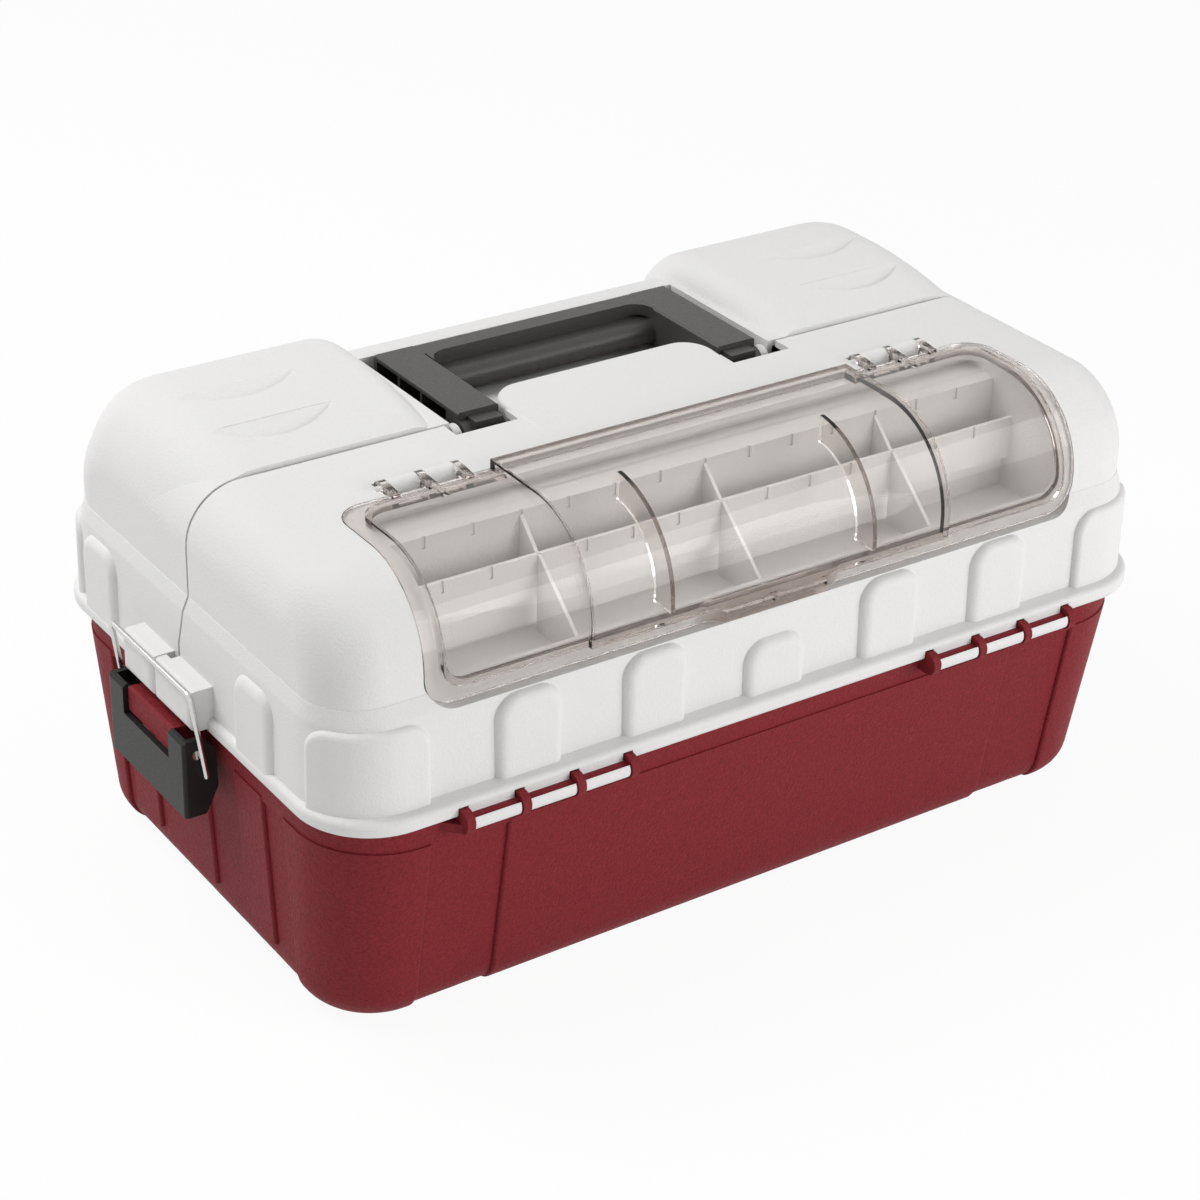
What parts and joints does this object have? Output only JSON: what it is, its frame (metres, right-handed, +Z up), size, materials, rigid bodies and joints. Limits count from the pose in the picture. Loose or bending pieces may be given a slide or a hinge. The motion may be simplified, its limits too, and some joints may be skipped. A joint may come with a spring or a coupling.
{
  "type": "toolbox with trays",
  "caption": "Hip-roof plastic box: two covers open front and rear and lift out divided trays; clear lid over bins, folding handle, end latches with wire bails.",
  "frame": {"origin": "middle of the tub's underside", "axes": "+X along the front to the right, +Y to the rear, +Z up"},
  "size_m": [0.435, 0.263, 0.206],
  "materials": {
    "red": "fine grain",
    "white": "fine grain",
    "smoke": "clear, tinted",
    "black": "fine grain",
    "steel": "bright wire",
    "tray": "plain"
  },
  "bodies": {
    "base": {"base_tub": "red", "left_latch_pin": "steel", "right_latch_pin": "steel", "front_link_anchors": "steel", "rear_link_anchors": "steel"},
    "front_cover": {"front_cover": "white", "bin_tray": "white", "bin_dividers": "white", "front_tray_pivots": "steel"},
    "rear_cover": {"rear_cover": "white", "handle_pins": "steel", "rear_tray_pivots": "steel"},
    "window_lid": {"window_lid": "smoke"},
    "handle": {"handle": "black"},
    "left_lever": {"left_latch_lever": "black"},
    "right_lever": {"right_latch_lever": "black"},
    "left_bail": {"left_latch_bail": "steel"},
    "right_bail": {"right_latch_bail": "steel"},
    "front_tray": {"front_tray": "tray", "front_tray_dividers": "tray", "front_link_rivets": "steel"},
    "rear_tray": {"rear_tray": "tray", "rear_tray_dividers": "tray", "rear_link_rivets": "steel"},
    "front_links": {"front_left_link": "tray", "front_right_link": "tray"},
    "rear_links": {"rear_left_link": "tray", "rear_right_link": "tray"}
  },
  "joints": [
    {"name": "front_cover_hinge", "type": "hinge", "parent": "base", "child": "front_cover", "pos_m": [0, -0.1265, 0.1], "axis": [1, 0, 0], "range_deg": [0, 95]},
    {"name": "rear_cover_hinge", "type": "hinge", "parent": "base", "child": "rear_cover", "pos_m": [0, 0.1265, 0.1], "axis": [-1, 0, 0], "range_deg": [0, 95]},
    {"name": "window_lid_hinge", "type": "hinge", "parent": "front_cover", "child": "window_lid", "pos_m": [0, -0.036, 0.1952], "axis": [-1, 0, 0], "range_deg": [0, 100]},
    {"name": "handle_pivot", "type": "hinge", "parent": "rear_cover", "child": "handle", "pos_m": [0, 0.003, 0.1875], "axis": [1, 0, 0], "range_deg": [0, 90]},
    {"name": "left_lever_pivot", "type": "hinge", "parent": "base", "child": "left_lever", "pos_m": [-0.2115, 0.008, 0.0945], "axis": [0, 1, 0], "range_deg": [-6, 80]},
    {"name": "right_lever_pivot", "type": "hinge", "parent": "base", "child": "right_lever", "pos_m": [0.2115, 0.008, 0.0945], "axis": [0, -1, 0], "range_deg": [-6, 80]},
    {"name": "left_bail_pivot", "type": "hinge", "parent": "left_lever", "child": "left_bail", "pos_m": [-0.2085, 0.008, 0.084], "axis": [0, 1, 0], "range_deg": [-160, 12]},
    {"name": "right_bail_pivot", "type": "hinge", "parent": "right_lever", "child": "right_bail", "pos_m": [0.2085, 0.008, 0.084], "axis": [0, -1, 0], "range_deg": [-160, 12]},
    {"name": "front_tray_pivot", "type": "hinge", "parent": "front_cover", "child": "front_tray", "pos_m": [0, -0.0665, 0.119], "axis": [1, 0, 0], "range_deg": [-95, 0]},
    {"name": "rear_tray_pivot", "type": "hinge", "parent": "rear_cover", "child": "rear_tray", "pos_m": [0, 0.0665, 0.119], "axis": [-1, 0, 0], "range_deg": [-95, 0]},
    {"name": "front_links_pivot", "type": "hinge", "parent": "base", "child": "front_links", "pos_m": [0, -0.0785, 0.074], "axis": [1, 0, 0], "range_deg": [0, 95]},
    {"name": "rear_links_pivot", "type": "hinge", "parent": "base", "child": "rear_links", "pos_m": [0, 0.0785, 0.074], "axis": [-1, 0, 0], "range_deg": [0, 95]}
  ],
  "couplings": [
    {"joint": "left_bail_pivot", "follows": "left_lever_pivot", "ratio": -2},
    {"joint": "right_bail_pivot", "follows": "right_lever_pivot", "ratio": -2},
    {"joint": "front_tray_pivot", "follows": "front_cover_hinge", "ratio": -1},
    {"joint": "rear_tray_pivot", "follows": "rear_cover_hinge", "ratio": -1},
    {"joint": "front_links_pivot", "follows": "front_cover_hinge", "ratio": 1},
    {"joint": "rear_links_pivot", "follows": "rear_cover_hinge", "ratio": 1}
  ]
}
